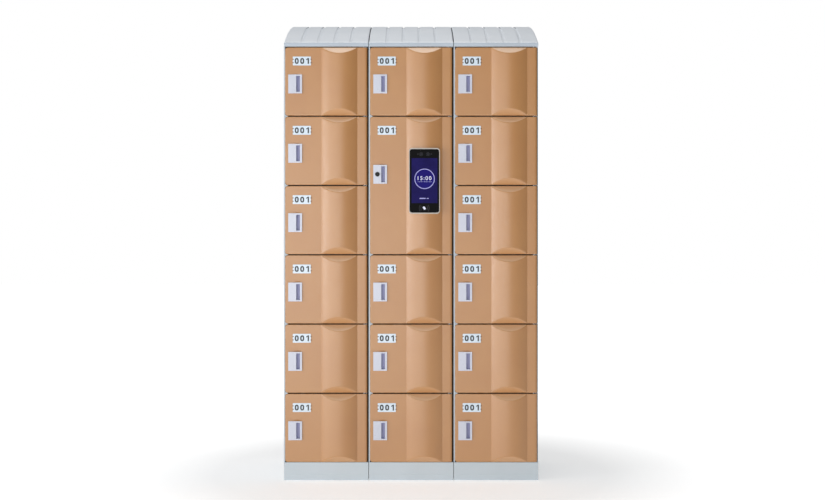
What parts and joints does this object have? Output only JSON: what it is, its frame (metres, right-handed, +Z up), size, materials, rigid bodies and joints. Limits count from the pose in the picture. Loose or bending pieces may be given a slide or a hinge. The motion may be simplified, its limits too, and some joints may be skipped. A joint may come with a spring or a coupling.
{
  "type": "parcel locker",
  "caption": "Free-standing bank of moulded parcel lockers with hinged doors, finger pulls, sloping ribbed caps and a control door with a touch terminal.",
  "frame": {"origin": "middle of the footprint, on the floor", "axes": "+X to the right seen from the front, +Y towards the back, +Z up; the doors face -Y"},
  "size_m": [1.1396, 0.5354, 2.1108],
  "materials": {
    "door_abs": "satin moulded",
    "body_abs": "satin moulded",
    "cap_abs": "fine matt grain",
    "plinth_abs": "satin moulded",
    "pull_abs": "gloss moulded",
    "rod_steel": "bright drawn",
    "lock_steel": "dark plated",
    "key_black": "satin black",
    "terminal_shell": "fine satin",
    "terminal_glass": "polished, black behind",
    "box_grey": "powder coated"
  },
  "bodies": {
    "carcass": {"plinth_a": "plinth_abs", "cap_a": "cap_abs", "side_a_left": "body_abs", "side_a_right": "body_abs", "shelves_a": "body_abs", "hinge_rod_a": "rod_steel", "lock_strip_a": "lock_steel", "plinth_b": "plinth_abs", "cap_b": "cap_abs", "side_b_left": "body_abs", "side_b_right": "body_abs", "shelves_b": "body_abs", "hinge_rod_b": "rod_steel", "lock_strip_b": "lock_steel", "plinth_c": "plinth_abs", "cap_c": "cap_abs", "side_c_left": "body_abs", "side_c_right": "body_abs", "shelves_c": "body_abs", "hinge_rod_c": "rod_steel", "lock_strip_c": "lock_steel", "controller_box": "box_grey", "power_supply": "box_grey"},
    "door_a1": {"door_a1": "door_abs", "pull_a1": "pull_abs"},
    "door_a2": {"door_a2": "door_abs", "pull_a2": "pull_abs"},
    "door_a3": {"door_a3": "door_abs", "pull_a3": "pull_abs"},
    "door_a4": {"door_a4": "door_abs", "pull_a4": "pull_abs"},
    "door_a5": {"door_a5": "door_abs", "pull_a5": "pull_abs"},
    "door_a6": {"door_a6": "door_abs", "pull_a6": "pull_abs"},
    "door_b1": {"door_b1": "door_abs", "pull_b1": "pull_abs"},
    "door_b4": {"door_b4": "door_abs", "pull_b4": "pull_abs"},
    "door_b5": {"door_b5": "door_abs", "pull_b5": "pull_abs"},
    "door_b6": {"door_b6": "door_abs", "pull_b6": "pull_abs"},
    "control_door": {"control_door": "door_abs", "control_pull": "pull_abs", "terminal_housing": "terminal_shell", "terminal_screen": "terminal_glass"},
    "key_lock": {"key_lock": "key_black"},
    "door_c1": {"door_c1": "door_abs", "pull_c1": "pull_abs"},
    "door_c2": {"door_c2": "door_abs", "pull_c2": "pull_abs"},
    "door_c3": {"door_c3": "door_abs", "pull_c3": "pull_abs"},
    "door_c4": {"door_c4": "door_abs", "pull_c4": "pull_abs"},
    "door_c5": {"door_c5": "door_abs", "pull_c5": "pull_abs"},
    "door_c6": {"door_c6": "door_abs", "pull_c6": "pull_abs"}
  },
  "joints": [
    {"name": "hinge_a1", "type": "hinge", "parent": "carcass", "child": "door_a1", "pos_m": [-0.206, -0.22275, 1.7835], "axis": [0, 0, 1], "range_deg": [0, 110]},
    {"name": "hinge_a2", "type": "hinge", "parent": "carcass", "child": "door_a2", "pos_m": [-0.206, -0.22275, 1.4735], "axis": [0, 0, 1], "range_deg": [0, 110]},
    {"name": "hinge_a3", "type": "hinge", "parent": "carcass", "child": "door_a3", "pos_m": [-0.206, -0.22275, 1.1635], "axis": [0, 0, 1], "range_deg": [0, 110]},
    {"name": "hinge_a4", "type": "hinge", "parent": "carcass", "child": "door_a4", "pos_m": [-0.206, -0.22275, 0.8535], "axis": [0, 0, 1], "range_deg": [0, 110]},
    {"name": "hinge_a5", "type": "hinge", "parent": "carcass", "child": "door_a5", "pos_m": [-0.206, -0.22275, 0.5435], "axis": [0, 0, 1], "range_deg": [0, 110]},
    {"name": "hinge_a6", "type": "hinge", "parent": "carcass", "child": "door_a6", "pos_m": [-0.206, -0.22275, 0.2335], "axis": [0, 0, 1], "range_deg": [0, 110]},
    {"name": "hinge_b1", "type": "hinge", "parent": "carcass", "child": "door_b1", "pos_m": [0.174, -0.22275, 1.7835], "axis": [0, 0, 1], "range_deg": [0, 110]},
    {"name": "hinge_b4", "type": "hinge", "parent": "carcass", "child": "door_b4", "pos_m": [0.174, -0.22275, 0.8535], "axis": [0, 0, 1], "range_deg": [0, 110]},
    {"name": "hinge_b5", "type": "hinge", "parent": "carcass", "child": "door_b5", "pos_m": [0.174, -0.22275, 0.5435], "axis": [0, 0, 1], "range_deg": [0, 110]},
    {"name": "hinge_b6", "type": "hinge", "parent": "carcass", "child": "door_b6", "pos_m": [0.174, -0.22275, 0.2335], "axis": [0, 0, 1], "range_deg": [0, 110]},
    {"name": "hinge_control", "type": "hinge", "parent": "carcass", "child": "control_door", "pos_m": [0.174, -0.22275, 1.3185], "axis": [0, 0, 1], "range_deg": [0, 110]},
    {"name": "key_turn", "type": "hinge", "parent": "control_door", "child": "key_lock", "pos_m": [-0.15085, -0.22275, 1.368], "axis": [0, 1, 0], "range_deg": [0, 90]},
    {"name": "hinge_c1", "type": "hinge", "parent": "carcass", "child": "door_c1", "pos_m": [0.554, -0.22275, 1.7835], "axis": [0, 0, 1], "range_deg": [0, 110]},
    {"name": "hinge_c2", "type": "hinge", "parent": "carcass", "child": "door_c2", "pos_m": [0.554, -0.22275, 1.4735], "axis": [0, 0, 1], "range_deg": [0, 110]},
    {"name": "hinge_c3", "type": "hinge", "parent": "carcass", "child": "door_c3", "pos_m": [0.554, -0.22275, 1.1635], "axis": [0, 0, 1], "range_deg": [0, 110]},
    {"name": "hinge_c4", "type": "hinge", "parent": "carcass", "child": "door_c4", "pos_m": [0.554, -0.22275, 0.8535], "axis": [0, 0, 1], "range_deg": [0, 110]},
    {"name": "hinge_c5", "type": "hinge", "parent": "carcass", "child": "door_c5", "pos_m": [0.554, -0.22275, 0.5435], "axis": [0, 0, 1], "range_deg": [0, 110]},
    {"name": "hinge_c6", "type": "hinge", "parent": "carcass", "child": "door_c6", "pos_m": [0.554, -0.22275, 0.2335], "axis": [0, 0, 1], "range_deg": [0, 110]}
  ]
}
